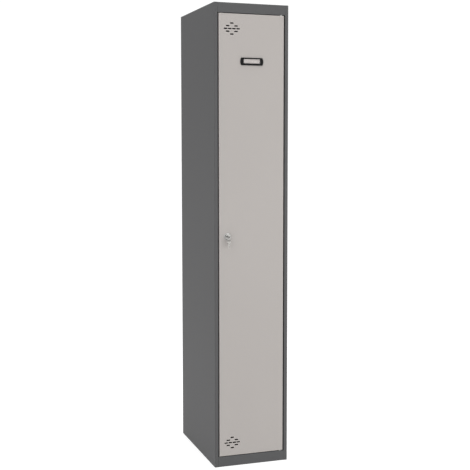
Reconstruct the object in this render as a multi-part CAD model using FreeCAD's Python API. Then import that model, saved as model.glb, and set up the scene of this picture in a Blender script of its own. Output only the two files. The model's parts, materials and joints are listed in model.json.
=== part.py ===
import FreeCAD, Part
import math
import os

# One-column clothes locker: a folded sheet-steel carcass with a hat shelf, a hanging rail with
# two hooks, and one flush door on two pivot pins with a key-operated cam lock and a name-card holder.
#
# Millimetres. +X is to the right as seen from the front, +Y runs from the front to the back and
# +Z is up. The origin is the centre of the footprint, on the floor.

Vector = FreeCAD.Vector

# ---------------------------------------------------------------- driving dimensions
WIDTH = 300.0
DEPTH = 500.0
HEIGHT = 1800.0
SHEET = 0.8                      # thickness of every folded steel sheet
BEND = 0.8                       # inner bend radius of the carcass sheets

STILE = 14.0                     # visible width of the front uprights
HEADER = 38.0                    # visible height of the top rail
SILL = 40.0                      # visible height of the bottom rail
JAMB_DEPTH = 24.0                # from the front face back to the door stops
STOP_WIDTH = 13.0                # how far the door stops reach behind the door
REAR_FLANGE = 14.0

DOOR_WIDTH = 263.0
DOOR_BOTTOM = 42.2
DOOR_TOP = 1759.5
DOOR_DEPTH = 18.0
DOOR_LIP = 14.0
DOOR_EDGE_RADIUS = 2.0
HINGE_FROM_EDGE = 10.0           # pivot axis, from the door's right edge
HINGE_FROM_FACE = 8.0            # pivot axis, behind the door's front face

SLOT_LENGTH = 15.2
SLOT_HEIGHT = 5.5
SLOT_PITCH = 16.6                # along a row; the end slots of neighbouring rows step by half of it
SLOT_ROW_PITCH = 10.3
SLOT_ROWS = ((0,), (-1, 1), (-1.5, -0.5, 0.5, 1.5), (-1, 1), (0,))
VENT_X = -79.5
VENT_HEIGHTS = (94.0, 1702.5)

CARD_Z = 1565.7                  # bottom edge of the card holder
CARD_HOLDER_WIDTH = 84.0         # between the roots of its bulged ends
CARD_HOLDER_BULGE = 4.2
CARD_HOLDER_HEIGHT = 29.0
CARD_HOLDER_THICK = 4.0
CARD_OPENING_WIDTH = 66.5
CARD_BOTTOM_BAR = 7.5
CARD_TOP_BAR = 5.0

LOCK_X = -98.0
LOCK_Z = 908.5
LOCK_BODY_RADIUS = 9.0
LOCK_HEAD_RADIUS = 11.0
LOCK_PLATE_RADIUS = 15.0
LOCK_PLATE_THICK = 1.2
PLUG_RADIUS = 6.0
CAM_REACH = 35.0

SHELF_TOP = 1480.0
SHELF_THICK = 18.0
SHELF_FRONT = -214.0
SHELF_LIP = 12.0
RAIL_Z = 1415.0
RAIL_Y = 10.0
RAIL_RADIUS = 10.0
RAIL_LENGTH = 270.0
RAIL_BRACKET_X = 122.0
HOOK_XS = (-60.0, 60.0)

WALL_HOLE_RADIUS = 4.0
WALL_HOLE_SPACING_X = 200.0
WALL_HOLE_SPACING_Z = 1500.0

# ---------------------------------------------------------------- places worked out from them
HALF_SHEET = SHEET / 2
BEND_MID = BEND + HALF_SHEET
FRONT = -DEPTH / 2
BACK = DEPTH / 2
SIDE = WIDTH / 2
SIDE_INNER = SIDE - SHEET
OPENING = SIDE - STILE           # half the width of the door opening
STOP_Y = FRONT + JAMB_DEPTH
LINTEL = HEIGHT - HEADER         # underside of the top rail
STOP_BOTTOM = SILL + STOP_WIDTH  # top of the compartment floor
STOP_TOP = LINTEL - STOP_WIDTH
BACK_INNER = BACK - SHEET        # inner face of the back panel
CAVITY_BACK = BACK_INNER - SHEET # inner face of the side panels' rear flanges
FITTED_BACK = CAVITY_BACK - BEND # fitted sheets stop short of the side panels' rear bends

DOOR_SIDE = DOOR_WIDTH / 2
DOOR_BACK = FRONT + DOOR_DEPTH
DOOR_SKIN = FRONT + SHEET        # inner face of the door skin
HINGE_X = DOOR_SIDE - HINGE_FROM_EDGE
HINGE_Y = FRONT + HINGE_FROM_FACE

AXES = {"x": Vector(1, 0, 0), "y": Vector(0, 1, 0), "z": Vector(0, 0, 1)}
PLANES = {
    "xy": (lambda u, v: Vector(u, v, 0), "z"),
    "yz": (lambda u, v: Vector(0, u, v), "x"),
    "xz": (lambda u, v: Vector(u, 0, v), "y"),
}


# ---------------------------------------------------------------- geometry helpers
def box(x_range, y_range, z_range):
    """Block between a low and a high value on each axis."""
    low = Vector(min(x_range), min(y_range), min(z_range))
    high = Vector(max(x_range), max(y_range), max(z_range))
    return Part.makeBox(high.x - low.x, high.y - low.y, high.z - low.z, low)


def rod(radius, start, axis, length):
    """Cylinder that runs from start along an axis letter."""
    return Part.makeCylinder(radius, length, start, AXES[axis])


def turned(profile, start, axis_letter, angle=360.0):
    """Solid of revolution. The profile lists (distance along the axis, radius) from axis to axis."""
    axis = AXES[axis_letter]
    across = AXES["x"] if axis_letter != "x" else AXES["z"]
    points = [start + axis * along + across * radius for along, radius in profile]
    face = Part.Face(Part.makePolygon(points + [points[0]]))
    return face.revolve(start, axis, angle)


def joined(first, *others):
    """One solid from touching or overlapping ones, with its flat faces merged."""
    return first.fuse(list(others)).removeSplitter()


def mirrored(shape):
    """The shape reflected to the other side of the middle plane."""
    return shape.mirror(Vector(0, 0, 0), AXES["x"])


def sheet_side(path, place):
    """Edges along the left face of a sheet folded along the path of its middle line, bends rounded."""
    edges = []
    directions = [(b - a).normalize() for a, b in zip(path, path[1:])]
    lefts = [Vector(-d.y, d.x, 0) for d in directions]
    here = path[0] + lefts[0] * HALF_SHEET
    for corner, before, after, left, left_after in zip(
        path[1:], directions, directions[1:], lefts, lefts[1:]
    ):
        turn = math.copysign(before.getAngle(after), before.cross(after).z)
        setback = BEND_MID * math.tan(abs(turn) / 2)
        centre = corner - before * setback + left * math.copysign(BEND_MID, turn)
        start = corner - before * setback + left * HALF_SHEET
        end = corner + after * setback + left_after * HALF_SHEET
        radius = BEND_MID - math.copysign(HALF_SHEET, turn)
        middle = centre + ((start - centre) + (end - centre)).normalize() * radius
        edges.append(Part.LineSegment(place(here), place(start)).toShape())
        edges.append(Part.Arc(place(start), place(middle), place(end)).toShape())
        here = end
    end = path[-1] + lefts[-1] * HALF_SHEET
    edges.append(Part.LineSegment(place(here), place(end)).toShape())
    return edges


def folded(plane, points, low, high):
    """Sheet folded along the middle line through the points, and extruded across the plane."""
    to_space, normal = PLANES[plane]
    path = [Vector(u, v, 0) for u, v in points]

    def place(point):
        return to_space(point.x, point.y) + AXES[normal] * low

    there = sheet_side(path, place)
    back = sheet_side(path[::-1], place)
    caps = []
    for one, other in ((there, back), (back, there)):
        caps.append(Part.makeLine(one[-1].Vertexes[-1].Point, other[0].Vertexes[0].Point))
    outline = Part.Wire(there + [caps[0]] + back + [caps[1]])
    return Part.Face(outline).extrude(AXES[normal] * (high - low))


def pan(width, length, depth, lip, edge_radius):
    """Sheet pan, skin face down on z = 0 and centred there: four flanges with lips turned inwards."""
    half_w, half_l = width / 2, length / 2
    outer = box((-half_w, half_w), (-half_l, half_l), (0, depth))
    front_edges = [e for e in outer.Edges if e.BoundBox.ZMax < 1e-6]
    outer = outer.makeFillet(edge_radius, front_edges)
    in_w, in_l = half_w - SHEET, half_l - SHEET
    hollow = box((-in_w, in_w), (-in_l, in_l), (SHEET, depth - SHEET))
    low_edges = [e for e in hollow.Edges if e.BoundBox.ZMax < SHEET + 1e-6]
    hollow = hollow.makeFillet(edge_radius - SHEET, low_edges)
    mouth_w, mouth_l = half_w - lip, half_l - lip
    mouth = box((-mouth_w, mouth_w), (-mouth_l, mouth_l), (depth / 2, depth + 1))
    return outer.cut([hollow, mouth])


def placed(shape, position, axis=None, angle=0.0):
    """A turned and moved copy of a shape."""
    rotation = FreeCAD.Rotation(axis or AXES["z"], angle)
    moved = shape.copy()
    moved.Placement = FreeCAD.Placement(position, rotation).multiply(shape.Placement)
    return moved


def slot_cutter(centre, length, height, depth):
    """Round-ended horizontal slot, cut along Y."""
    straight = (length - height) / 2
    start = centre - AXES["y"] * depth / 2
    middle = box(
        (centre.x - straight, centre.x + straight),
        (start.y, start.y + depth),
        (centre.z - height / 2, centre.z + height / 2),
    )
    ends = [
        rod(height / 2, start + AXES["x"] * side * straight, "y", depth) for side in (-1, 1)
    ]
    return joined(middle, *ends)


# ---------------------------------------------------------------- carcass
BACK_MARGIN = 1.0                # the back panel stops this far inside the outline


def side_panel(inner_fold):
    """Left side panel: rear flange, side, front upright, jamb, and the fold given for its end."""
    middle = SIDE - HALF_SHEET
    jamb_x = -OPENING - HALF_SHEET
    stop_y = STOP_Y + HALF_SHEET
    path = [
        (-SIDE + REAR_FLANGE, BACK_INNER - HALF_SHEET),
        (-middle, BACK_INNER - HALF_SHEET),
        (-middle, FRONT + HALF_SHEET),
        (jamb_x, FRONT + HALF_SHEET),
        (jamb_x, stop_y),
        (inner_fold, stop_y),
    ]
    panel = folded("xy", path, 0, HEIGHT)
    under_roof = box((-SIDE_INNER, 0), (FRONT + SHEET, CAVITY_BACK), (HEIGHT - SHEET, HEIGHT + 1))
    return panel.cut(under_roof)


def left_side_panel():
    """Latch side, with a stop flange that reaches behind the door between sill and header."""
    panel = side_panel(-OPENING + STOP_WIDTH)
    beyond = (-OPENING, 0)
    around = (STOP_Y - 5, STOP_Y + 5)
    above = box(beyond, around, (STOP_TOP, HEIGHT))
    below = box(beyond, around, (0, STOP_BOTTOM))
    stems = [rod(BUMPER_STEM, p, "y", JAMB_DEPTH) for p in bumper_places()]
    return panel.cut([above, below] + stems)


def right_side_panel():
    """Hinge side, whose jamb folds back into the upright so that the door can turn beside it."""
    return mirrored(side_panel(-OPENING - STOP_WIDTH * 0.7))


def back_panel():
    """Flat sheet welded over the rear flanges, with the holes for fixing the locker to a wall."""
    half = SIDE - BACK_MARGIN
    panel = box((-half, half), (BACK_INNER, BACK), (BACK_MARGIN, HEIGHT - BACK_MARGIN))
    wall_holes = [
        rod(WALL_HOLE_RADIUS, Vector(x, BACK_INNER - 1, HEIGHT / 2 + z), "y", SHEET + 2)
        for x in (-WALL_HOLE_SPACING_X / 2, WALL_HOLE_SPACING_X / 2)
        for z in (-WALL_HOLE_SPACING_Z / 2, WALL_HOLE_SPACING_Z / 2)
    ]
    return panel.cut(wall_holes)


def roof_panel():
    """Roof whose front folds down as the header, back under the lintel and down again as a stop."""
    flange = 15.0
    path = [
        (BACK_INNER - HALF_SHEET, HEIGHT - flange),
        (BACK_INNER - HALF_SHEET, HEIGHT - HALF_SHEET),
        (FRONT + HALF_SHEET, HEIGHT - HALF_SHEET),
        (FRONT + HALF_SHEET, LINTEL + HALF_SHEET),
        (STOP_Y + HALF_SHEET, LINTEL + HALF_SHEET),
        (STOP_Y + HALF_SHEET, STOP_TOP),
    ]
    roof = folded("yz", path, -OPENING, OPENING)
    wings = []
    for side in (-1, 1):
        over_stile = (side * (OPENING - 1), side * SIDE_INNER)
        wings.append(box(over_stile, (FRONT + SHEET, FITTED_BACK), (HEIGHT - SHEET, HEIGHT)))
        edge = (side * (SIDE_INNER - SHEET), side * SIDE_INNER)
        wings.append(box(edge, (STOP_Y + 1, FITTED_BACK), (HEIGHT - flange, HEIGHT)))
    return joined(roof, *wings).cut(rod(PIN_RADIUS, Vector(HINGE_X, HINGE_Y, LINTEL - 5), "z", 10))


def base_panel():
    """Compartment floor, stepped down at the front to the sill, with a kick rail and floor lips."""
    lip = 20.0
    behind_jamb = STOP_Y + 1.0
    path = [
        (BACK_INNER - lip, HALF_SHEET),
        (BACK_INNER - HALF_SHEET, HALF_SHEET),
        (BACK_INNER - HALF_SHEET, STOP_BOTTOM - HALF_SHEET),
        (STOP_Y + HALF_SHEET, STOP_BOTTOM - HALF_SHEET),
        (STOP_Y + HALF_SHEET, SILL - HALF_SHEET),
        (FRONT + HALF_SHEET, SILL - HALF_SHEET),
        (FRONT + HALF_SHEET, HALF_SHEET),
        (behind_jamb + lip / 4, HALF_SHEET),
    ]
    base = folded("yz", path, -OPENING, OPENING)
    length = (behind_jamb, FITTED_BACK)
    wings = []
    for side in (-1, 1):
        floor = (side * (OPENING - 1), side * SIDE_INNER)
        wings.append(box(floor, length, (STOP_BOTTOM - SHEET, STOP_BOTTOM)))
        edge = (side * (SIDE_INNER - SHEET), side * SIDE_INNER)
        wings.append(box(edge, length, (0, STOP_BOTTOM)))
        wings.append(box((side * (SIDE_INNER - lip), side * SIDE_INNER), length, (0, SHEET)))
    return joined(base, *wings).cut(rod(PIN_RADIUS, Vector(HINGE_X, HINGE_Y, SILL - 5), "z", 10))


# ---------------------------------------------------------------- shelf and hanging rail
SHELF_UNDER = SHELF_TOP - SHELF_THICK
SHELF_BRACKET_END = 150.0
SHELF_BRACKET_WIDTH = 15.0
SHELF_SCREW_X = SIDE_INNER - 8.0
SHELF_SCREW_YS = (-110.0, 110.0)
SCREW_RADIUS = 1.9
RIVET_RADIUS = 1.6
RAIL_TAB = 22.0
RAIL_BRACKET_WIDTH = 34.0
RAIL_RIVET_Y = 9.0


def shelf_screw_places():
    return [Vector(side * SHELF_SCREW_X, y, 0) for side in (-1, 1) for y in SHELF_SCREW_YS]


def rail_rivet_places():
    """Two rivets on the tab of each rail bracket, which turns towards the middle."""
    x = RAIL_BRACKET_X - RAIL_TAB * 0.6
    return [Vector(s * x, RAIL_Y + d * RAIL_RIVET_Y, 0) for s in (-1, 1) for d in (-1, 1)]


def shelf():
    """Hat shelf, a pan with its skin up."""
    width = 2 * SIDE_INNER - 0.4
    length = FITTED_BACK - SHELF_FRONT
    middle = Vector(0, SHELF_FRONT + length / 2, SHELF_TOP)
    tray = placed(pan(width, length, SHELF_THICK, SHELF_LIP, 1.6), middle, AXES["x"], 180)
    screw_holes = [
        rod(SCREW_RADIUS, p + AXES["z"] * (SHELF_UNDER - 2), "z", 6) for p in shelf_screw_places()
    ]
    rivet_cuts = [
        rod(RIVET_RADIUS, p + AXES["z"] * (SHELF_TOP - 3), "z", 6) for p in rail_rivet_places()
    ]
    return tray.cut(screw_holes + rivet_cuts)


def shelf_bracket():
    """Angle on the left side panel that carries the shelf."""
    path = [
        (-SIDE_INNER + HALF_SHEET, SHELF_UNDER - SHELF_BRACKET_WIDTH),
        (-SIDE_INNER + HALF_SHEET, SHELF_UNDER - HALF_SHEET),
        (-SIDE_INNER + SHELF_BRACKET_WIDTH, SHELF_UNDER - HALF_SHEET),
    ]
    angle = folded("xz", path, -SHELF_BRACKET_END, SHELF_BRACKET_END)
    holes = [rod(SCREW_RADIUS, p + AXES["z"] * (SHELF_UNDER - 5), "z", 10) for p in shelf_screw_places()]
    return angle.cut(holes)


def shelf_screws():
    """Pan-head screws, driven up through the brackets into the shelf's lips."""
    head_radius, head_height, length = 3.8, 2.2, 9.0
    top = SHELF_UNDER - SHEET
    profile = [
        (top - head_height, 0),
        (top - head_height, head_radius * 0.6),
        (top - head_height * 0.5, head_radius),
        (top, head_radius),
        (top, SCREW_RADIUS),
        (top + length - 2, SCREW_RADIUS),
        (top + length, 0),
    ]
    screws = [turned(profile, p, "z") for p in shelf_screw_places()]
    for index, place in enumerate(shelf_screw_places()):
        for angle in (0, 90):
            arm = box((-2.2, 2.2), (-0.4, 0.4), (-1, 1))
            recess = placed(arm, place + AXES["z"] * (top - head_height), AXES["z"], angle)
            screws[index] = screws[index].cut(recess)
    return Part.makeCompound(screws)


def rail_bracket():
    """Left hanger for the rail: a drop plate with a round foot, and a tab riveted to the shelf."""
    under_skin = SHELF_TOP - SHEET
    plate_x = -RAIL_BRACKET_X
    half = RAIL_BRACKET_WIDTH / 2
    path = [
        (plate_x, RAIL_Z - half),
        (plate_x, under_skin - HALF_SHEET),
        (plate_x + RAIL_TAB, under_skin - HALF_SHEET),
    ]
    strip = folded("xz", path, RAIL_Y - half, RAIL_Y + half)
    foot_corners = box((plate_x - 2, plate_x + 2), (RAIL_Y - half, RAIL_Y + half), (RAIL_Z - half, RAIL_Z))
    foot = rod(half, Vector(plate_x - 3, RAIL_Y, RAIL_Z), "x", 6)
    rail_hole = rod(RAIL_RADIUS, Vector(plate_x - 5, RAIL_Y, RAIL_Z), "x", 10)
    holes = [rod(RIVET_RADIUS, p + AXES["z"] * (SHELF_TOP - 5), "z", 8) for p in rail_rivet_places()]
    return strip.cut([foot_corners.cut(foot), rail_hole] + holes)


def rail_bracket_rivets():
    head, dome, swell = 3.2, 0.9, 2.3
    under = SHELF_TOP - 2 * SHEET
    profile = [
        (under - 1.6, 0),
        (under - 1.3, swell),
        (under, swell),
        (under, RIVET_RADIUS),
        (SHELF_TOP, RIVET_RADIUS),
        (SHELF_TOP, head),
        (SHELF_TOP + dome / 2, head * 0.8),
        (SHELF_TOP + dome, head * 0.35),
        (SHELF_TOP + dome, 0),
    ]
    return Part.makeCompound([turned(profile, p, "z") for p in rail_rivet_places()])


def hanging_rail():
    wall = 1.2
    start = Vector(-RAIL_LENGTH / 2, RAIL_Y, RAIL_Z)
    return rod(RAIL_RADIUS, start, "x", RAIL_LENGTH).cut(rod(RAIL_RADIUS - wall, start, "x", RAIL_LENGTH))


def rail_end_plug():
    """Left plastic plug that closes the tube and keeps it from sliding out of the bracket."""
    inside, face, plug_radius = 8.0, 2.5, RAIL_RADIUS - 1.2
    profile = [
        (-face, 0),
        (-face, RAIL_RADIUS),
        (-face + 1, RAIL_RADIUS + 1.5),
        (0, RAIL_RADIUS + 1.5),
        (0, plug_radius),
        (inside - 1, plug_radius),
        (inside, plug_radius - 1),
        (inside, 0),
    ]
    return turned(profile, Vector(-RAIL_LENGTH / 2, RAIL_Y, RAIL_Z), "x")


def coat_hook(x):
    """Moulded double hook that rides on the rail: an eye, a stem and two upturned prongs."""
    thick, arm, stem_half = 8.0, 5.0, 3.0
    eye_inner, eye_outer = RAIL_RADIUS + 0.4, RAIL_RADIUS + 5.0
    bowl_mid, bowl_drop, tip_rise = 15.0, 46.0, 12.0
    half = arm / 2
    bowl_z = RAIL_Z - bowl_drop
    x_range = (x - thick / 2, x + thick / 2)
    middle = Vector(x_range[0], RAIL_Y, RAIL_Z)
    stem_foot = bowl_z - bowl_mid + half + 1.5
    stem_top = RAIL_Z - eye_inner - 1
    stem = box(x_range, (RAIL_Y - stem_half, RAIL_Y + stem_half), (stem_foot, stem_top))
    prongs = []
    for side in (-1, 1):
        centre = Vector(x_range[0], RAIL_Y + side * bowl_mid, bowl_z)
        bowl = rod(bowl_mid + half, centre, "x", thick).cut(rod(bowl_mid - half, centre, "x", thick))
        reach = bowl_mid + half + 1
        above = box((x - thick, x + thick), (centre.y - reach, centre.y + reach), (bowl_z, bowl_z + reach))
        tip_y = RAIL_Y + side * 2 * bowl_mid
        tip = box(x_range, (tip_y - half, tip_y + half), (bowl_z, bowl_z + tip_rise))
        bead = rod(half + 1.0, Vector(x_range[0], tip_y, bowl_z + tip_rise), "x", thick)
        prongs += [bowl.cut(above), tip, bead]
    hook = joined(rod(eye_outer, middle, "x", thick), stem, *prongs)
    return hook.cut(rod(eye_inner, middle, "x", thick))


# ---------------------------------------------------------------- door stops and pivots
BUMPER_RADIUS = 3.8
BUMPER_STEM = 2.0
BUMPER_GAP = 0.3
BUMPER_HEIGHTS = (180.0, 700.0, 1620.0)
PIN_RADIUS = 3.0
PIN_CLEARANCE = 0.06
BUSH_RADIUS = 4.5
ANCHOR_THICK = 3.0
ANCHOR_REACH = 20.0              # from the pivot axis towards the middle
ANCHOR_DEPTH = 9.0               # from the pivot axis towards the back
HINGE_PLATE_THICK = 2.5
HINGE_PLATE_REACH = 30.0
HINGE_PLATE_GAP = 1.4            # clears the bend between the door's skin and flange


def bumper_places():
    """Three buffers, in the strip of the left stop flange that the door covers."""
    x = (-DOOR_SIDE - OPENING + STOP_WIDTH) / 2
    return [Vector(x, STOP_Y - 5, z) for z in BUMPER_HEIGHTS]


def door_bumpers():
    """Rubber buffers pushed through the stop flange, just short of the closed door."""
    front = DOOR_BACK + BUMPER_GAP - STOP_Y
    neck = SHEET
    profile = [
        (front, 0),
        (front, BUMPER_RADIUS - 1),
        (front + 1, BUMPER_RADIUS),
        (0, BUMPER_RADIUS),
        (0, BUMPER_STEM),
        (neck, BUMPER_STEM),
        (neck, BUMPER_STEM + 0.9),
        (neck + 2, BUMPER_STEM - 0.6),
        (neck + 2, 0),
    ]
    return Part.makeCompound([turned(profile, p + AXES["y"] * 5, "y") for p in bumper_places()])


def hinge_anchor(z_low):
    """Plate welded behind the sheet that holds a pivot pin."""
    x_range = (HINGE_X - ANCHOR_REACH, OPENING)
    y_range = (FRONT + SHEET + BEND, HINGE_Y + ANCHOR_DEPTH)
    plate = box(x_range, y_range, (z_low, z_low + ANCHOR_THICK))
    return plate.cut(rod(PIN_RADIUS, Vector(HINGE_X, HINGE_Y, z_low - 1), "z", ANCHOR_THICK + 2))


def hinge_pin(sheet_face, way):
    """Pin that passes the sheet at sheet_face; way is +1 if the door lies above it and -1 below."""
    collar, collar_thick, head, head_thick, reach = 5.5, 1.1, 4.6, 2.0, 9.5
    under = -(SHEET + ANCHOR_THICK)
    profile = [
        (under - head_thick, 0),
        (under - head_thick, head - 0.8),
        (under - head_thick + 0.8, head),
        (under, head),
        (under, PIN_RADIUS),
        (0, PIN_RADIUS),
        (0, collar),
        (collar_thick, collar),
        (collar_thick, PIN_RADIUS),
        (reach - 1, PIN_RADIUS),
        (reach, PIN_RADIUS - 1),
        (reach, 0),
    ]
    profile = [(way * along, radius) for along, radius in profile]
    return turned(profile, Vector(HINGE_X, HINGE_Y, sheet_face), "z")


def hinge_bush(door_edge, way):
    """Nylon bush in the door's flange; way points from its rim into the door."""
    rim, rim_thick, length = 6.0, 0.8, SHEET + HINGE_PLATE_THICK + 1.2
    bore = PIN_RADIUS + PIN_CLEARANCE
    profile = [
        (-rim_thick, bore),
        (-rim_thick, rim),
        (0, rim),
        (0, BUSH_RADIUS),
        (length, BUSH_RADIUS),
        (length, bore),
    ]
    profile = [(way * along, radius) for along, radius in profile]
    return turned(profile, Vector(HINGE_X, HINGE_Y, door_edge), "z")


def hinge_plate(door_edge, way):
    """Stiff plate inside the door's corner, around the bush."""
    ends = sorted((door_edge + way * SHEET, door_edge + way * (SHEET + HINGE_PLATE_THICK)))
    x_range = (HINGE_X - HINGE_PLATE_REACH, DOOR_SIDE - SHEET)
    plate = box(x_range, (DOOR_SKIN + HINGE_PLATE_GAP, DOOR_BACK - SHEET), ends)
    return plate.cut(rod(BUSH_RADIUS, Vector(HINGE_X, HINGE_Y, ends[0] - 1), "z", HINGE_PLATE_THICK + 2))


# ---------------------------------------------------------------- door
def vent_cutters():
    """Two diamonds of punched slots, one slot in the end rows and four in the middle row."""
    cutters = []
    for vent_z in VENT_HEIGHTS:
        for row, columns in enumerate(SLOT_ROWS):
            z = vent_z + (row - len(SLOT_ROWS) // 2) * SLOT_ROW_PITCH
            for column in columns:
                centre = Vector(VENT_X + column * SLOT_PITCH, FRONT, z)
                cutters.append(slot_cutter(centre, SLOT_LENGTH, SLOT_HEIGHT, 10))
    return cutters


def door_panel():
    """Door skin with return flanges and lips, slotted for air and holed for its fittings."""
    length = DOOR_TOP - DOOR_BOTTOM
    skin = pan(DOOR_WIDTH, length, DOOR_DEPTH, DOOR_LIP, DOOR_EDGE_RADIUS)
    door = placed(skin, Vector(0, FRONT, DOOR_BOTTOM + length / 2), AXES["x"], -90)
    cuts = vent_cutters()
    cuts.append(rod(LOCK_BODY_RADIUS, Vector(LOCK_X, FRONT - 5, LOCK_Z), "y", 10))
    cuts += [rod(CARD_PEG, p, "y", 10) for p in card_peg_places()]
    for edge in (DOOR_BOTTOM, DOOR_TOP):
        cuts.append(rod(BUSH_RADIUS, Vector(HINGE_X, HINGE_Y, edge - 2), "z", 4))
    return door.cut(cuts)


def door_stiffener():
    """Hat-section channel spot-welded to the inside of the skin."""
    crown, root, brim = 12.0, 15.0, 27.0
    on_skin = DOOR_SKIN + HALF_SHEET
    top = DOOR_BACK - 2.0
    path = [
        (-brim, on_skin),
        (-root, on_skin),
        (-crown, top),
        (crown, top),
        (root, on_skin),
        (brim, on_skin),
    ]
    return folded("xy", path, DOOR_BOTTOM + 20, DOOR_TOP - 20)


# ---------------------------------------------------------------- name-card holder
CARD_PEG = 2.0
CARD_PEG_X = 38.0
CARD_PEG_LENGTH = 4.4
CARD_PEG_SLIT = 1.0
CARD_CORNER_RADIUS = 2.0
CARD_RIM_RADIUS = 1.2
CARD_OPENING_RADIUS = 1.5
CARD_RECESS_WIDTH = 71.0
CARD_RECESS_BOTTOM = 4.0
CARD_RECESS_DEPTH = 2.2
CARD_WIDTH = 70.0
CARD_HEIGHT = 23.0
CARD_THICK = 0.5
WINDOW_THICK = 0.7


def card_peg_places():
    z = CARD_Z + CARD_HOLDER_HEIGHT / 2
    return [Vector(side * CARD_PEG_X, FRONT - 3, z) for side in (-1, 1)]


def card_holder():
    """Moulded frame with bulged ends, open at the top behind a thin bar, on two split pegs."""
    half, top = CARD_HOLDER_WIDTH / 2, CARD_Z + CARD_HOLDER_HEIGHT
    middle = CARD_Z + CARD_HOLDER_HEIGHT / 2
    low_left, low_right = Vector(-half, FRONT, CARD_Z), Vector(half, FRONT, CARD_Z)
    top_left, top_right = Vector(-half, FRONT, top), Vector(half, FRONT, top)
    reach = half + CARD_HOLDER_BULGE
    edges = [
        Part.makeLine(low_left, low_right),
        Part.Arc(low_right, Vector(reach, FRONT, middle), top_right).toShape(),
        Part.makeLine(top_right, top_left),
        Part.Arc(top_left, Vector(-reach, FRONT, middle), low_left).toShape(),
    ]
    body = Part.Face(Part.Wire(edges)).extrude(Vector(0, -CARD_HOLDER_THICK, 0))
    corners = [e for e in body.Edges if e.BoundBox.YLength > CARD_HOLDER_THICK - 0.1]
    body = body.makeFillet(CARD_CORNER_RADIUS, corners)
    face_y = FRONT - CARD_HOLDER_THICK
    rim = [e for e in body.Edges if e.BoundBox.YMax < face_y + 1e-6]
    body = body.makeFillet(CARD_RIM_RADIUS, rim)
    window_half = CARD_OPENING_WIDTH / 2
    window = box(
        (-window_half, window_half),
        (FRONT + 1, face_y - 1),
        (CARD_Z + CARD_BOTTOM_BAR, top - CARD_TOP_BAR),
    )
    window = window.makeFillet(CARD_OPENING_RADIUS, [e for e in window.Edges if e.BoundBox.YLength > 1])
    recess = box(
        (-CARD_RECESS_WIDTH / 2, CARD_RECESS_WIDTH / 2),
        (FRONT + 1, FRONT - CARD_RECESS_DEPTH),
        (CARD_Z + CARD_RECESS_BOTTOM, top + 1),
    )
    pegs = []
    half_slit = CARD_PEG_SLIT / 2
    for place in card_peg_places():
        peg = rod(CARD_PEG, Vector(place.x, FRONT - 1, place.z), "y", CARD_PEG_LENGTH)
        slit_height = (place.z - half_slit, place.z + half_slit)
        slit = box((place.x - 5, place.x + 5), (DOOR_SKIN, FRONT + 6), slit_height)
        pegs.append(peg.cut(slit))
    return joined(body.cut([window, recess]), *pegs)


def card_layer(thick, gap_behind, height):
    """Flat piece that stands in the holder's recess, a small gap in front of the door."""
    bottom = CARD_Z + CARD_RECESS_BOTTOM
    near = FRONT - gap_behind
    return box((-CARD_WIDTH / 2, CARD_WIDTH / 2), (near - thick, near), (bottom, bottom + height))


# ---------------------------------------------------------------- lock and keys
LOCK_PLATE_FRONT = FRONT - LOCK_PLATE_THICK
HEAD_THICK = 3.2
HEAD_FRONT = LOCK_PLATE_FRONT - HEAD_THICK
PLUG_FRONT = HEAD_FRONT - 0.3
CAM_FRONT = STOP_Y + SHEET + 0.6
CAM_THICK = 2.0
CAM_BACK = CAM_FRONT + CAM_THICK
BODY_BACK = CAM_FRONT - 0.8
TAIL = 7.0                       # square end of the plug
LOCK_NUT_THICK = 4.5
LOCK_NUT_RADIUS = 13.5           # to the corners of its hexagon
CAM_SCREW_RADIUS = 2.0
KEY_THICK = 2.0
BLADE_WIDTH = 7.0
BLADE_LENGTH = 14.0
KEYWAY_DEPTH = BLADE_LENGTH + 1.5
BOW_RADIUS = 8.0
BOW_HOLE = 3.3
HOLE_TO_BOW = 2.6                # from the hole's centre to the bow's centre
NECK = 1.5                       # between the bow and the blade
NECK_HALF_WIDTH = 5.0
KEY_STAND_OFF = 0.5              # between the neck and the plug
RING_RADIUS = 8.0
RING_WIRE = 0.8
RING_GAP = 0.3                   # between the ring and the bow it hangs on


def on_lock(y):
    """Point on the lock's axis."""
    return Vector(LOCK_X, y, LOCK_Z)


def lock_escutcheon():
    """Round plate under the head of the lock."""
    profile = [
        (0, LOCK_BODY_RADIUS),
        (0, LOCK_PLATE_RADIUS),
        (-LOCK_PLATE_THICK * 0.5, LOCK_PLATE_RADIUS),
        (-LOCK_PLATE_THICK, LOCK_PLATE_RADIUS - 1.0),
        (-LOCK_PLATE_THICK, LOCK_BODY_RADIUS),
    ]
    return turned(profile, on_lock(FRONT), "y")


def lock_housing():
    """Threaded barrel with a round head and a bore for the plug."""
    bore = PLUG_RADIUS + PIN_CLEARANCE
    pitch, depth = 1.5, 0.5
    thread_start, thread_end = DOOR_SKIN + 0.5, BODY_BACK - 1.0
    profile = [
        (HEAD_FRONT + 0.4, bore),
        (HEAD_FRONT, bore + 0.6),
        (HEAD_FRONT, LOCK_HEAD_RADIUS - 1.2),
        (HEAD_FRONT + 1.2, LOCK_HEAD_RADIUS),
        (LOCK_PLATE_FRONT, LOCK_HEAD_RADIUS),
        (LOCK_PLATE_FRONT, LOCK_BODY_RADIUS),
    ]
    for turn in range(int((thread_end - thread_start) / pitch)):
        crest = thread_start + turn * pitch
        if crest > DOOR_SKIN + LOCK_NUT_THICK:
            profile += [(crest, LOCK_BODY_RADIUS), (crest + pitch / 2, LOCK_BODY_RADIUS - depth)]
    profile += [(thread_end, LOCK_BODY_RADIUS), (BODY_BACK, LOCK_BODY_RADIUS - 1), (BODY_BACK, bore)]
    return turned(profile, Vector(LOCK_X, 0, LOCK_Z), "y")


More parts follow.
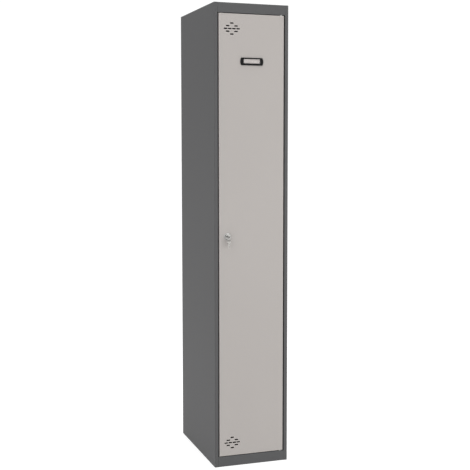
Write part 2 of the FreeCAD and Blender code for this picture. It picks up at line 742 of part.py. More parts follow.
def lock_nut():
    """Hexagonal nut that clamps the housing to the door skin."""
    points = [
        Vector(
            LOCK_X + LOCK_NUT_RADIUS * math.cos(math.radians(60 * corner)),
            DOOR_SKIN,
            LOCK_Z + LOCK_NUT_RADIUS * math.sin(math.radians(60 * corner)),
        )
        for corner in range(7)
    ]
    hexagon = Part.Face(Part.makePolygon(points)).extrude(Vector(0, LOCK_NUT_THICK, 0))
    rounding = [
        (0, 0),
        (0, LOCK_NUT_RADIUS - 0.7),
        (LOCK_NUT_THICK - 0.8, LOCK_NUT_RADIUS + 0.5),
        (LOCK_NUT_THICK, LOCK_NUT_RADIUS - 1.1),
        (LOCK_NUT_THICK, 0),
    ]
    chamfer = turned(rounding, on_lock(DOOR_SKIN), "y")
    return hexagon.common(chamfer).cut(rod(LOCK_BODY_RADIUS, on_lock(DOOR_SKIN - 1), "y", 8))


def lock_plug():
    """Turning core with the keyway in front and a square tail for the cam."""
    shoulder = CAM_FRONT - 0.2
    profile = [
        (PLUG_FRONT, 0),
        (PLUG_FRONT, PLUG_RADIUS - 0.5),
        (HEAD_FRONT + 0.2, PLUG_RADIUS),
        (shoulder, PLUG_RADIUS),
        (shoulder, 0),
    ]
    core = turned(profile, Vector(LOCK_X, 0, LOCK_Z), "y")
    half = TAIL / 2
    tail = box(
        (LOCK_X - half, LOCK_X + half), (shoulder - 1, CAM_BACK - 0.1), (LOCK_Z - half, LOCK_Z + half)
    )
    keyway = box(
        (LOCK_X - BLADE_WIDTH / 2 - 0.25, LOCK_X + BLADE_WIDTH / 2 + 0.25),
        (HEAD_FRONT - 1, PLUG_FRONT + KEYWAY_DEPTH),
        (LOCK_Z - KEY_THICK / 2 - 0.15, LOCK_Z + KEY_THICK / 2 + 0.15),
    )
    thread = rod(CAM_SCREW_RADIUS, on_lock(CAM_BACK - 6), "y", 8)
    return joined(core, tail).cut([keyway, thread])


def lock_cam():
    """Latch tongue that hangs down when the door is unlocked."""
    hub, width = 9.0, 13.0
    tip = LOCK_Z - CAM_REACH
    arm = box((LOCK_X - width / 2, LOCK_X + width / 2), (CAM_FRONT, CAM_BACK), (tip, LOCK_Z))
    tip_edges = [e for e in arm.Edges if e.BoundBox.ZMax < tip + 1e-6 and e.BoundBox.YLength > 1]
    arm = arm.makeFillet(3.0, tip_edges)
    half = TAIL / 2 + 0.05
    square = box((LOCK_X - half, LOCK_X + half), (CAM_FRONT, CAM_BACK), (LOCK_Z - half, LOCK_Z + half))
    return joined(arm, rod(hub, on_lock(CAM_FRONT), "y", CAM_THICK)).cut(square)


def cam_screw():
    """Screw with a washer face that holds the cam on the plug."""
    head, thick = 5.6, 2.6
    profile = [
        (-5.5, 0),
        (-5.5, CAM_SCREW_RADIUS),
        (0, CAM_SCREW_RADIUS),
        (0, head),
        (thick - 0.7, head),
        (thick, head - 0.9),
        (thick, 0),
    ]
    screw = turned(profile, on_lock(CAM_BACK), "y")
    head_face = CAM_BACK + thick
    slot_depth, slot_half = 1.1, 0.6
    slot = box(
        (LOCK_X - head - 1, LOCK_X + head + 1),
        (head_face - slot_depth, head_face + 1),
        (LOCK_Z - slot_half, LOCK_Z + slot_half),
    )
    return screw.cut(slot)


def key_shape():
    """Flat key in the XY plane, with the centre of its ring hole at the origin and its tip along +Y."""
    half = KEY_THICK / 2
    blade_start = HOLE_TO_BOW + BOW_RADIUS + NECK
    tip = blade_start + BLADE_LENGTH
    bow = rod(BOW_RADIUS, Vector(0, HOLE_TO_BOW, -half), "z", KEY_THICK)
    neck = box((-NECK_HALF_WIDTH, NECK_HALF_WIDTH), (HOLE_TO_BOW, blade_start + 0.5), (-half, half))
    edge = BLADE_WIDTH / 2
    depths = (0.0, 1.6, 0.7, 2.1, 1.1, 0.4)
    step = (BLADE_LENGTH - 4.0) / len(depths)
    bitting = [(edge, blade_start)]
    for index, depth in enumerate(depths):
        bitting.append((edge - depth, blade_start + 1.0 + (index + 0.5) * step))
    nose = [(edge * 0.5, tip - 1.5), (-edge * 0.3, tip), (-edge, tip - 2.0), (-edge, blade_start)]
    points = [Vector(x, y, -half) for x, y in bitting + nose]
    blade = Part.Face(Part.makePolygon(points + [points[0]])).extrude(Vector(0, 0, KEY_THICK))
    groove = box((-1.4, -0.4), (blade_start, tip + 1), (half - 0.5, half + 1))
    return joined(bow, neck, blade).cut([groove, rod(BOW_HOLE, Vector(0, 0, -half), "z", KEY_THICK)])


# The ring hangs on the strip of bow between the hole and the edge, and the second key on the ring.
BOW_STRIP = BOW_RADIUS - HOLE_TO_BOW - BOW_HOLE
KEY_HOLE_Y = PLUG_FRONT - KEY_STAND_OFF - NECK - BOW_RADIUS - HOLE_TO_BOW
RING_Y = KEY_HOLE_Y - BOW_HOLE - BOW_STRIP / 2
RING_INNER = RING_RADIUS - RING_WIRE
RING_DROP = math.sqrt(RING_INNER**2 - (BOW_STRIP / 2) ** 2) - KEY_THICK / 2 - RING_GAP
RING_Z = LOCK_Z - RING_DROP
SPARE_HOLE_Z = RING_Z - RING_RADIUS - BOW_HOLE + RING_WIRE + RING_GAP


def key():
    """The key in the lock, flat side up."""
    return placed(key_shape(), on_lock(KEY_HOLE_Y))


def spare_key():
    """Second key, hanging by its bow from the bottom of the ring, parallel to the door."""
    return placed(key_shape(), Vector(LOCK_X, RING_Y, SPARE_HOLE_Z), AXES["x"], -90)


def key_ring():
    return Part.makeTorus(RING_RADIUS, RING_WIRE, Vector(LOCK_X, RING_Y, RING_Z), AXES["x"])


# ---------------------------------------------------------------- the whole locker
def nodes():
    """Every sub-part by its node name."""
    lintel_anchor = LINTEL + SHEET
    sill_anchor = SILL - SHEET - ANCHOR_THICK
    found = {
        "left_side_panel": left_side_panel(),
        "right_side_panel": right_side_panel(),
        "back_panel": back_panel(),
        "roof_panel": roof_panel(),
        "base_panel": base_panel(),
        "shelf": shelf(),
        "shelf_bracket_left": shelf_bracket(),
        "shelf_bracket_right": mirrored(shelf_bracket()),
        "shelf_screws": shelf_screws(),
        "rail_bracket_left": rail_bracket(),
        "rail_bracket_right": mirrored(rail_bracket()),
        "rail_bracket_rivets": rail_bracket_rivets(),
        "hanging_rail": hanging_rail(),
        "rail_plug_left": rail_end_plug(),
        "rail_plug_right": mirrored(rail_end_plug()),
        "door_bumpers": door_bumpers(),
        "hinge_anchor_bottom": hinge_anchor(sill_anchor),
        "hinge_anchor_top": hinge_anchor(lintel_anchor),
        "hinge_pin_bottom": hinge_pin(SILL, 1),
        "hinge_pin_top": hinge_pin(LINTEL, -1),
        "door_panel": door_panel(),
        "door_stiffener": door_stiffener(),
        "hinge_plate_bottom": hinge_plate(DOOR_BOTTOM, 1),
        "hinge_plate_top": hinge_plate(DOOR_TOP, -1),
        "hinge_bush_bottom": hinge_bush(DOOR_BOTTOM, 1),
        "hinge_bush_top": hinge_bush(DOOR_TOP, -1),
        "card_holder": card_holder(),
        "card_window": card_layer(WINDOW_THICK, 1.3, CARD_HEIGHT),
        "name_card": card_layer(CARD_THICK, 0.4, CARD_HEIGHT + 1.0),
        "lock_escutcheon": lock_escutcheon(),
        "lock_housing": lock_housing(),
        "lock_nut": lock_nut(),
        "lock_plug": lock_plug(),
        "lock_cam": lock_cam(),
        "cam_screw": cam_screw(),
        "key": key(),
        "key_ring": key_ring(),
        "spare_key": spare_key(),
    }
    for number, x in enumerate(HOOK_XS, start=1):
        found[f"coat_hook_{number}"] = coat_hook(x)
    return found


def main():
    os.makedirs("parts", exist_ok=True)
    for name, shape in nodes().items():
        print(name, "valid" if shape.isValid() else "INVALID", len(shape.Solids), round(shape.Volume))
        shape.exportStep(os.path.join("parts", name + ".step"))


main()
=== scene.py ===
import json
import math

import bmesh
import bpy
from mathutils import Euler, Matrix, Vector


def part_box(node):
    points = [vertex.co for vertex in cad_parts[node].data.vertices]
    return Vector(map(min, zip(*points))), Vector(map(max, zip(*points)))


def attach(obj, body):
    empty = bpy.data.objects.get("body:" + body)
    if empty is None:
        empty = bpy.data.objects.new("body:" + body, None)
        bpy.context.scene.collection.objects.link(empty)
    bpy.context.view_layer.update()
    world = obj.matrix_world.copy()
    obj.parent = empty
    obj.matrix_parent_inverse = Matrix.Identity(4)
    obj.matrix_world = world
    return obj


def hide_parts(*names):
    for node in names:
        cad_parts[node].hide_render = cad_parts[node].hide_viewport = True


# One-column sheet-steel locker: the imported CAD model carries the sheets, the door and its fittings.
# This script gives each finish its material, rounds the coat hooks, replaces the keys and their ring
# with finer ones, and closes the front seams with weld beads. Everything is in metres.

MM = 0.001

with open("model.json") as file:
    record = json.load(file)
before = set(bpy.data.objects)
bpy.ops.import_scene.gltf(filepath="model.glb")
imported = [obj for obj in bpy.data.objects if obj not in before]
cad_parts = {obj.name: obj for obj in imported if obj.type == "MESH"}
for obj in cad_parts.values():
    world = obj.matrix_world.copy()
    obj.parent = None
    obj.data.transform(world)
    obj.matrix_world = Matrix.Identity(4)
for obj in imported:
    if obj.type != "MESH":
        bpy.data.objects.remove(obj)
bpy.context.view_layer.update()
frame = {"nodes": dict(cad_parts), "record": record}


# ---------------------------------------------------------------- material helpers
MIX_A, MIX_B, MIX_RESULT = 6, 7, 2      # colour sockets of a Mix node, which share their names


class Finish:
    """A node material under construction: a Principled shader and short ways to feed it."""

    def __init__(self, name, **constants):
        self.material = bpy.data.materials.new(name)
        self.material.use_nodes = True
        self.tree = self.material.node_tree
        self.shader = self.tree.nodes["Principled BSDF"]
        for socket, value in constants.items():
            self.set(socket.replace("_", " "), value)
        self.position = self.node("ShaderNodeTexCoord").outputs["Object"]

    def node(self, kind, **settings):
        made = self.tree.nodes.new(kind)
        for name, value in settings.items():
            setattr(made, name, value)
        return made

    def link(self, source, target):
        self.tree.links.new(source, target)

    def set(self, socket, value):
        self.shader.inputs[socket].default_value = value

    def feed(self, socket, source):
        self.link(source, self.shader.inputs[socket])

    def noise(self, scale, detail=2.0, stretch=(1, 1, 1)):
        """Noise in the object's own space, with scale in cells per metre."""
        mapping = self.node("ShaderNodeMapping")
        mapping.inputs["Scale"].default_value = stretch
        self.link(self.position, mapping.inputs["Vector"])
        noise = self.node("ShaderNodeTexNoise")
        noise.inputs["Scale"].default_value = scale
        noise.inputs["Detail"].default_value = detail
        self.link(mapping.outputs["Vector"], noise.inputs["Vector"])
        return noise.outputs["Fac"]

    def spread(self, source, low, high, start=0.3, end=0.7):
        """The source's range from start to end, remapped to low to high."""
        remap = self.node("ShaderNodeMapRange", interpolation_type="SMOOTHSTEP")
        for name, value in zip(("From Min", "From Max", "To Min", "To Max"), (start, end, low, high)):
            remap.inputs[name].default_value = value
        self.link(source, remap.inputs["Value"])
        return remap.outputs["Result"]

    def multiply(self, first, second):
        """Product of two numbers or number outputs."""
        made = self.node("ShaderNodeMath", operation="MULTIPLY")
        for socket, value in zip(made.inputs, (first, second)):
            if isinstance(value, (int, float)):
                socket.default_value = value
            else:
                self.link(value, socket)
        return made.outputs["Value"]

    def mix(self, factor, first, second):
        """Colour mix of two colours or colour outputs."""
        made = self.node("ShaderNodeMix", data_type="RGBA")
        self.link(factor, made.inputs["Factor"])
        for socket, value in ((made.inputs[MIX_A], first), (made.inputs[MIX_B], second)):
            if isinstance(value, tuple):
                socket.default_value = (*value, 1.0)
            else:
                self.link(value, socket)
        return made.outputs[MIX_RESULT]

    def bump(self, height, depth, strength=1.0, under=None):
        """A bump of that depth in metres, on top of another one if given."""
        made = self.node("ShaderNodeBump")
        made.inputs["Strength"].default_value = strength
        made.inputs["Distance"].default_value = depth
        self.link(height, made.inputs["Height"])
        if under is not None:
            self.link(under, made.inputs["Normal"])
        return made.outputs["Normal"]

    def edge_mask(self, radius):
        """1 on sharp edges, falling to 0 within the radius."""
        bevel = self.node("ShaderNodeBevel", samples=4)
        bevel.inputs["Radius"].default_value = radius
        geometry = self.node("ShaderNodeNewGeometry")
        dot = self.node("ShaderNodeVectorMath", operation="DOT_PRODUCT")
        self.link(bevel.outputs["Normal"], dot.inputs[0])
        self.link(geometry.outputs["Normal"], dot.inputs[1])
        return self.spread(dot.outputs["Value"], 1.0, 0.0, 0.85, 0.99)


def shade(colour, factor):
    """The colour times a factor."""
    return tuple(channel * factor for channel in colour)


# ---------------------------------------------------------------- finishes
def powder_coat(name, colour, roughness, gloss, edge=1.25, bend=2.0 * MM):
    """Powder coat with orange peel, fine specks and paler bends, partly worn paint and partly a painted
    highlight: edge is how pale, bend how wide.
    """
    finish = Finish(name, Specular_IOR_Level=gloss)
    cloud = finish.spread(finish.noise(2.2, 3.0), 0.0, 1.0)
    tone = finish.mix(cloud, shade(colour, 0.99), shade(colour, 1.01))
    speck = finish.spread(finish.noise(1400, 1.0), 0.0, 1.0, 0.35, 0.65)
    tone = finish.mix(finish.multiply(speck, 0.25), tone, shade(colour, 0.8))
    # Paler bends: partly worn paint along the edges, partly a painted highlight standing in for light
    # on the rounded bends.
    patchiness = finish.spread(finish.noise(35, 4.0), 0.4, 0.9)
    worn_and_highlit_bends = finish.multiply(finish.edge_mask(bend), patchiness)
    pale = tuple(min(1.0, channel * edge + 0.01) for channel in colour)
    finish.feed("Base Color", finish.mix(worn_and_highlit_bends, tone, pale))
    finish.feed("Roughness", finish.spread(finish.noise(420, 3.0), roughness - 0.04, roughness + 0.05))
    peel = finish.bump(finish.noise(420, 1.0), 0.05 * MM, 0.3)
    finish.feed("Normal", finish.bump(finish.noise(1100, 2.0), 0.06 * MM, 0.55, peel))
    return finish.material


def zinc_plate():
    """Bright zinc with a faint bluish and yellowish cast and fine drawing lines."""
    finish = Finish("zinc_plate", Metallic=1.0)
    cast = finish.spread(finish.noise(90, 3.0), 0.0, 1.0)
    finish.feed("Base Color", finish.mix(cast, (0.50, 0.53, 0.57), (0.62, 0.61, 0.55)))
    finish.feed("Roughness", finish.spread(finish.noise(700, 3.0), 0.25, 0.42))
    finish.feed("Normal", finish.bump(finish.noise(900, 2.0, (1, 1, 0.1)), 0.03 * MM, 0.5))
    return finish.material


def chrome(name, colour, roughness, grain=0.4):
    """Plated metal with slight haze, polishing lines and handling marks."""
    finish = Finish(name, Metallic=1.0)
    haze = finish.spread(finish.noise(120, 4.0), 0.0, 1.0)
    finish.feed("Base Color", finish.mix(haze, shade(colour, 0.93), colour))
    finish.feed("Roughness", finish.spread(finish.noise(260, 4.0), roughness, roughness + 0.12))
    finish.feed("Normal", finish.bump(finish.noise(1500, 2.0, (0.15, 1, 1)), 0.02 * MM, grain))
    return finish.material


def moulding(name, colour, roughness, depth, gloss=0.5):
    """Moulded plastic or rubber with a fine texture and a slight sheen change."""
    finish = Finish(name, Specular_IOR_Level=gloss)
    cloud = finish.spread(finish.noise(60, 3.0), 0.0, 1.0)
    handling = finish.spread(finish.noise(200, 3.0), 0.0, 0.8)
    worn = finish.multiply(finish.edge_mask(0.4 * MM), handling)
    tone = finish.mix(cloud, shade(colour, 0.9), shade(colour, 1.1))
    pale = tuple(channel * 1.5 + 0.006 for channel in colour)
    finish.feed("Base Color", finish.mix(worn, tone, pale))
    finish.feed("Roughness", finish.spread(finish.noise(150, 4.0), roughness, roughness + 0.1))
    finish.feed("Normal", finish.bump(finish.noise(1800, 2.0), depth, 0.5))
    return finish.material


def clear_sheet():
    """Thin clear plastic with a few fine scratches."""
    finish = Finish("clear_sheet", Alpha=0.1, Specular_IOR_Level=0.3, Base_Color=(0.6, 0.6, 0.59, 1.0))
    finish.feed("Roughness", finish.spread(finish.noise(300, 4.0, (0.3, 1, 1)), 0.04, 0.2))
    finish.feed("Normal", finish.bump(finish.noise(40, 1.0), 0.1 * MM, 0.15))
    return finish.material


def card_stock():
    """Uncoated card with visible fibres."""
    finish = Finish("card_stock", Specular_IOR_Level=0.25, Sheen_Weight=0.1)
    fibre = finish.spread(finish.noise(2500, 4.0, (0.3, 1, 1)), 0.0, 1.0)
    finish.feed("Base Color", finish.mix(fibre, (0.366, 0.332, 0.319), (0.414, 0.376, 0.362)))
    finish.feed("Roughness", finish.spread(finish.noise(800, 2.0), 0.75, 0.9))
    finish.feed("Normal", finish.bump(finish.noise(3000, 3.0), 0.04 * MM, 0.6))
    return finish.material


BODY_GREY = (0.0635, 0.0637, 0.065)
DOOR_GREY = (0.301, 0.281, 0.267)

FINISHES = {
    "body_paint": powder_coat("dark_powder_coat", BODY_GREY, 0.55, 0.22),
    # The door's bends get a wider, paler band: mostly a painted highlight along the door's edges.
    "door_paint": powder_coat("light_powder_coat", DOOR_GREY, 0.5, 0.35, 1.6, 3.2 * MM),
    "zinc": zinc_plate(),
    "rail_chrome": chrome("rail_chrome", (0.78, 0.79, 0.80), 0.08, 0.2),
    "lock_chrome": chrome("satin_chrome", (0.27, 0.266, 0.257), 0.34),
    "key_nickel": chrome("key_nickel", (0.215, 0.21, 0.20), 0.32),
    "black_plastic": moulding("satin_black", (0.003, 0.003, 0.0033), 0.3, 0.02 * MM, 0.1),
    "hook_plastic": moulding("hook_black", (0.022, 0.022, 0.024), 0.38, 0.04 * MM),
    "nylon": moulding("nylon", (0.70, 0.68, 0.62), 0.4, 0.03 * MM),
    "buffer_rubber": moulding("rubber", (0.030, 0.030, 0.031), 0.7, 0.06 * MM),
    "window": clear_sheet(),
    "card": card_stock(),
}


def paint_frame():
    """Gives every CAD node the finish of its material slot."""
    for part in frame["record"]["subparts"]:
        node = frame["nodes"][part["node"]]
        node.data.materials.clear()
        node.data.materials.append(FINISHES[part["material_slot"]])


def soften(name, width):
    """Rounds the hard edges of a small CAD node."""
    node = frame["nodes"][name]
    weld = node.modifiers.new("weld", "WELD")
    weld.merge_threshold = 0.002 * MM
    bevel = node.modifiers.new("soft_edges", "BEVEL")
    bevel.width = width
    bevel.segments = 3
    bevel.limit_method = "ANGLE"
    bevel.angle_limit = math.radians(35)
    bevel.harden_normals = True


paint_frame()
for hook in ("coat_hook_1", "coat_hook_2"):
    soften(hook, 0.9 * MM)


# ---------------------------------------------------------------- keys and ring
def new_object(name, data, material, body):
    """A piece with its finish that rides on a body."""
    made = bpy.data.objects.new(name, data)
    bpy.context.scene.collection.objects.link(made)
    made.data.materials.append(material)
    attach(made, body)
    return made


KEY_THICK = 2.0 * MM
WEB_THICK = 1.3 * MM             # between the raised rim and the blade's rails
BOW_RADIUS = 8.0 * MM
BOW_RIM = 1.3 * MM
BOW_STEPS = 40
HOLE_RADIUS = 3.3 * MM
HOLE_RIM = 0.8 * MM
HOLE_TO_BOW = 2.6 * MM           # from the ring hole to the middle of the bow
NECK_LENGTH = 1.5 * MM
NECK_HALF = 5.0 * MM
BLADE_START = HOLE_TO_BOW + BOW_RADIUS + NECK_LENGTH
BLADE_HALF = 3.5 * MM
BLADE_LENGTH = 14.0 * MM
BLADE_TIP = BLADE_START + BLADE_LENGTH
CUT_DEPTHS = (0.0, 1.6, 0.7, 2.1, 1.1, 0.4)     # of the teeth's notches, in millimetres


def circle(radius, centre_y=0.0, steps=48):
    """Points of a circle in the XY plane, with its middle on the Y axis."""
    angles = [math.tau * step / steps for step in range(steps)]
    return [(radius * math.cos(a), centre_y + radius * math.sin(a)) for a in angles]


def key_outline():
    """Outline of a flat key whose ring hole is at the origin and whose tip points along +Y."""
    open_half = math.asin(NECK_HALF / BOW_RADIUS)
    sweep = math.tau - 2 * open_half
    start = math.pi / 2 + open_half
    bow = []
    for step in range(BOW_STEPS + 1):
        angle = start + sweep * step / BOW_STEPS
        bow.append((BOW_RADIUS * math.cos(angle), HOLE_TO_BOW + BOW_RADIUS * math.sin(angle)))
    pitch = (BLADE_LENGTH - 4 * MM) / len(CUT_DEPTHS)
    bitting = [(NECK_HALF, BLADE_START), (BLADE_HALF, BLADE_START)]
    for index, depth in enumerate(CUT_DEPTHS):
        middle = BLADE_START + 1 * MM + (index + 0.5) * pitch
        for edge in (middle - 0.25 * pitch, middle + 0.25 * pitch):
            bitting.append((BLADE_HALF - depth * MM, edge))
    nose = [
        (BLADE_HALF * 0.5, BLADE_TIP - 1.5 * MM),
        (-BLADE_HALF * 0.3, BLADE_TIP),
        (-BLADE_HALF, BLADE_TIP - 2 * MM),
        (-BLADE_HALF, BLADE_START),
        (-NECK_HALF, BLADE_START),
    ]
    return bow + bitting + nose


def plate(outlines, thickness, edge):
    """Mesh of a flat plate in the XY plane with rounded edges. The later outlines are holes."""
    curve = bpy.data.curves.new("plate", "CURVE")
    curve.dimensions = "2D"
    curve.fill_mode = "BOTH"
    curve.extrude = thickness / 2 - edge
    curve.bevel_depth = edge
    curve.bevel_resolution = 2
    curve.offset = -edge
    for outline in outlines:
        spline = curve.splines.new("POLY")
        spline.points.add(len(outline) - 1)
        for point, (x, y) in zip(spline.points, outline):
            point.co = (x, y, 0, 1)
        spline.use_cyclic_u = True
    holder = bpy.data.objects.new("plate", curve)
    bpy.context.scene.collection.objects.link(holder)
    bpy.context.view_layer.update()
    mesh = bpy.data.meshes.new_from_object(holder.evaluated_get(bpy.context.evaluated_depsgraph_get()))
    bpy.data.objects.remove(holder)
    return mesh


def blade_rail(near, far, near_end, far_end):
    """Outline of a lengthwise rail on the blade, between two X values and with a slanted end."""
    return [
        (near, BLADE_START - NECK_LENGTH),
        (far, BLADE_START - NECK_LENGTH),
        (far, BLADE_TIP - far_end),
        (near, BLADE_TIP - near_end),
    ]


def key_mesh(name):
    """Key with a thinner milled blade web between full-thickness rails, and a raised rim on the bow."""
    spine = blade_rail(-BLADE_HALF, -0.9 * MM, 2.2 * MM, 3 * MM)
    tooth_rail = blade_rail(0.2 * MM, 1.2 * MM, 2.6 * MM, 3.2 * MM)
    rim_edge = BOW_RADIUS - 0.05 * MM
    rim = [circle(rim_edge, HOLE_TO_BOW), circle(rim_edge - BOW_RIM, HOLE_TO_BOW)]
    layers = [
        ([key_outline(), circle(HOLE_RADIUS)], WEB_THICK, 0.2 * MM),
        (rim, KEY_THICK, 0.3 * MM),
        ([circle(HOLE_RADIUS + HOLE_RIM), circle(HOLE_RADIUS)], KEY_THICK - 0.2 * MM, 0.2 * MM),
        ([spine], KEY_THICK, 0.2 * MM),
        ([tooth_rail], KEY_THICK, 0.2 * MM),
    ]
    whole = bmesh.new()
    for outlines, thickness, edge in layers:
        layer = plate(outlines, thickness, edge)
        whole.from_mesh(layer)
        bpy.data.meshes.remove(layer)
    bmesh.ops.remove_doubles(whole, verts=whole.verts, dist=0.001 * MM)
    mesh = bpy.data.meshes.new(name)
    whole.to_mesh(mesh)
    whole.free()
    return mesh


def middle_of(node):
    """Middle of a CAD node's box at rest."""
    low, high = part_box(node)
    return (Vector(low) + Vector(high)) / 2


def add_key():
    """The key in the lock, flat side up, tip into the plug."""
    low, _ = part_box("key")
    centre = middle_of("key")
    mesh = key_mesh("key_in_lock")
    hole = Vector((centre.x, low[1] + BOW_RADIUS - HOLE_TO_BOW, centre.z))
    mesh.transform(Matrix.Translation(hole))
    made = new_object("key_in_lock", mesh, FINISHES["key_nickel"], "lock_key")
    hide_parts("key")


def add_second_key():
    """The second key, hanging tip down and parallel to the door."""
    _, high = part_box("spare_key")
    centre = middle_of("spare_key")
    mesh = key_mesh("second_key_blank")
    hole = Vector((centre.x, centre.y, high[2] - BOW_RADIUS + HOLE_TO_BOW))
    mesh.transform(Matrix.Translation(hole) @ Matrix.Rotation(math.radians(-90), 4, "X"))
    made = new_object("second_key_blank", mesh, FINISHES["key_nickel"], "second_key")
    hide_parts("spare_key")


def skin(work, loops):
    """Faces between neighbouring loops of points, closed at both ends."""
    for one, other in zip(loops, loops[1:]):
        for index in range(len(one)):
            after = (index + 1) % len(one)
            work.faces.new((one[index], one[after], other[after], other[index]))
    work.faces.new(loops[0][::-1])
    work.faces.new(loops[-1])
    bmesh.ops.recalc_face_normals(work, faces=work.faces)


WIRE_HALF_WIDTH = 0.38 * MM
WIRE_HALF_HEIGHT = 0.75 * MM
WIRE_SIDES = 10
RING_STEPS = 160
TURN_OFFSET = 0.4 * MM           # of each of the ring's two turns from its middle plane
WIRE_END_ANGLE = 0.6


def add_split_ring():
    """Split ring: two turns of flattened wire side by side."""
    low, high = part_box("key_ring")
    centre = middle_of("key_ring")
    outer = (high[2] - low[2]) / 2
    middle_radius = outer - WIRE_HALF_HEIGHT - 0.02 * MM
    work = bmesh.new()
    loops = []
    for step in range(RING_STEPS + 1):
        turn = 2 * math.tau * step / RING_STEPS
        across = (step / RING_STEPS - 0.5) * 2 * TURN_OFFSET
        loop = []
        for side in range(WIRE_SIDES):
            angle = math.tau * side / WIRE_SIDES
            radius = middle_radius + WIRE_HALF_HEIGHT * math.sin(angle)
            x = across + WIRE_HALF_WIDTH * math.cos(angle)
            y = radius * math.cos(turn + WIRE_END_ANGLE)
            z = radius * math.sin(turn + WIRE_END_ANGLE)
            loop.append(work.verts.new(centre + Vector((x, y, z))))
        loops.append(loop)
    skin(work, loops)
    mesh = bpy.data.meshes.new("split_ring")
    work.to_mesh(mesh)
    work.free()
    mesh.shade_smooth()
    made = new_object("split_ring", mesh, FINISHES["key_nickel"], "ring")
    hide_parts("key_ring")


add_key()
add_second_key()
add_split_ring()


# ---------------------------------------------------------------- welds
UPRIGHT_WIDTH = 14.0 * MM
SHEET = 0.8 * MM
KICK_RAIL_SEAM = (1.0 * MM, 38.0 * MM)
HEADER_SEAM = (1763.0 * MM, 1797.0 * MM)
BEAD = 1.5 * MM
BEAD_CORNERS = 6
RIPPLE = 2.2 * MM
RIPPLE_DEPTH = 0.12              # as a share of the bead's radius
RIPPLE_STEPS = 6
INTO_SEAM = 0.1 * MM


def add_weld_bead(name, side, low, high):
    """Rippled fillet weld behind the seam of a rail and an upright, between two heights.

    side is -1 for the left upright and 1 for the right one.
    """
    left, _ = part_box("left_side_panel")
    edge = -side * (left[0] + UPRIGHT_WIDTH) + side * INTO_SEAM
    back = left[1] + SHEET
    steps = round((high - low) / RIPPLE) * RIPPLE_STEPS
    work = bmesh.new()
    loops = []
    for step in range(steps + 1):
        height = low + (high - low) * step / steps
        radius = BEAD * (1 + RIPPLE_DEPTH * math.sin(math.tau * (height - low) / RIPPLE))
        loop = [work.verts.new((edge, back, height))]
        for corner in range(BEAD_CORNERS + 1):
            angle = math.pi / 2 * corner / BEAD_CORNERS
            across = edge - side * radius * math.cos(angle)
            loop.append(work.verts.new((across, back + radius * math.sin(angle), height)))
        loops.append(loop)
    skin(work, loops)
    mesh = bpy.data.meshes.new(name)
    work.to_mesh(mesh)
    work.free()
    made = new_object(name, mesh, FINISHES["body_paint"], "carcass")


for side_name, side in (("left", -1), ("right", 1)):
    add_weld_bead("kick_rail_weld_" + side_name, side, *KICK_RAIL_SEAM)
    add_weld_bead("header_weld_" + side_name, side, *HEADER_SEAM)


# ---------------------------------------------------------------- floor, light and camera
FLOOR_HALF = 60.0
WORLD_STRENGTH = 0.85            # of the light on the object
BACKDROP_STRENGTH = 1.05         # of the white seen behind it

# name: place, target, width and height, power in watts
SOFTBOXES = {
    "softbox_left": ((-2.6, -3.0, 3.0), (0, 0, 1.5), (1.6, 2.4), 36),
    "softbox_right": ((1.8, -3.8, 0.85), (0, 0, 0.4), (3.2, 1.6), 60),
    "softbox_top": ((0.2, -0.6, 4.2), (0, 0, 1.0), (2.4, 2.4), 60),
}

EYE = (-1.2220, -3.9036, 1.2687)
TURN = math.radians(20.137)
TILT = math.radians(-4.880)
ROLL = math.radians(0.170)
LENS = 76.035
SHIFT = (-0.0957, -0.0149)


def add_floor():
    """Plain pale floor that reaches past the horizon of every view."""
    work = bmesh.new()
    bmesh.ops.create_grid(work, x_segments=8, y_segments=8, size=FLOOR_HALF)
    mesh = bpy.data.meshes.new("floor")
    work.to_mesh(mesh)
    work.free()
    floor = bpy.data.objects.new("floor", mesh)
    bpy.context.scene.collection.objects.link(floor)
    finish = Finish("floor_white", Specular_IOR_Level=0.2, Roughness=0.7, Emission_Strength=0.66)
    finish.set("Emission Color", (1.0, 1.0, 1.0, 1.0))
    finish.feed("Base Color", finish.mix(finish.noise(3, 2.0), (0.49, 0.49, 0.49), (0.51, 0.51, 0.51)))
    floor.data.materials.append(finish.material)


def add_softbox(name, place, target, size, power):
    """Rectangular area light at a place, facing a target."""
    data = bpy.data.lights.new(name, "AREA")
    data.shape = "RECTANGLE"
    data.size, data.size_y = size
    data.energy = power
    light = bpy.data.objects.new(name, data)
    light.location = place
    aim = Vector(target) - Vector(place)
    light.rotation_euler = aim.to_track_quat("-Z", "Y").to_euler()
    bpy.context.scene.collection.objects.link(light)


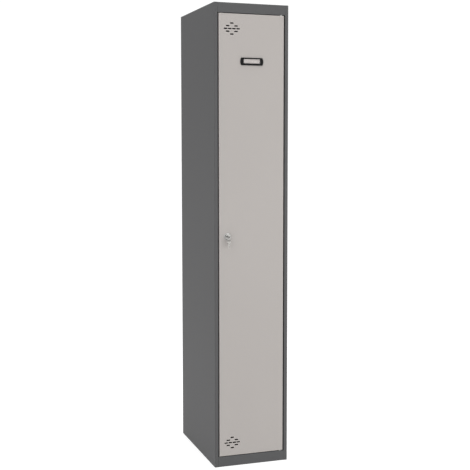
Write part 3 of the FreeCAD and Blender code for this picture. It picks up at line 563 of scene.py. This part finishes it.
def set_world():
    """White surroundings: plain white behind the object, and light that is brighter from above."""
    world = bpy.data.worlds.new("studio")
    world.use_nodes = True
    tree = world.node_tree
    tree.nodes.clear()
    output = tree.nodes.new("ShaderNodeOutputWorld")
    seen = tree.nodes.new("ShaderNodeBackground")
    seen.inputs["Color"].default_value = (1, 1, 1, 1)
    seen.inputs["Strength"].default_value = BACKDROP_STRENGTH
    lit = tree.nodes.new("ShaderNodeBackground")
    lit.inputs["Strength"].default_value = WORLD_STRENGTH
    place = tree.nodes.new("ShaderNodeTexCoord")
    height = tree.nodes.new("ShaderNodeSeparateXYZ")
    ramp = tree.nodes.new("ShaderNodeValToRGB")
    ramp.color_ramp.elements[0].position = 0.0
    ramp.color_ramp.elements[0].color = (0.88, 0.88, 0.89, 1)
    ramp.color_ramp.elements[1].position = 0.8
    ramp.color_ramp.elements[1].color = (1, 1, 1, 1)
    path = tree.nodes.new("ShaderNodeLightPath")
    mix = tree.nodes.new("ShaderNodeMixShader")
    link = tree.links.new
    link(place.outputs["Generated"], height.inputs["Vector"])
    link(height.outputs["Z"], ramp.inputs["Fac"])
    link(ramp.outputs["Color"], lit.inputs["Color"])
    link(path.outputs["Is Camera Ray"], mix.inputs["Fac"])
    link(lit.outputs["Background"], mix.inputs[1])
    link(seen.outputs["Background"], mix.inputs[2])
    link(mix.outputs["Shader"], output.inputs["Surface"])
    bpy.context.scene.world = world


def add_camera():
    """Camera at EYE, turned clockwise from +Y, tilted up and rolled by the angles above."""
    data = bpy.data.cameras.new("camera")
    data.sensor_width = 36.0
    data.lens = LENS
    data.shift_x, data.shift_y = SHIFT
    camera = bpy.data.objects.new("camera", data)
    aim = Euler((math.pi / 2 + TILT, 0.0, -TURN)).to_matrix() @ Matrix.Rotation(ROLL, 3, "Z")
    camera.location = EYE
    camera.rotation_euler = aim.to_euler()
    bpy.context.scene.collection.objects.link(camera)
    bpy.context.scene.camera = camera


add_floor()
set_world()
for softbox, settings in SOFTBOXES.items():
    add_softbox(softbox, *settings)
add_camera()
bpy.context.scene.view_settings.view_transform = "Standard"
bpy.context.scene.view_settings.look = "None"
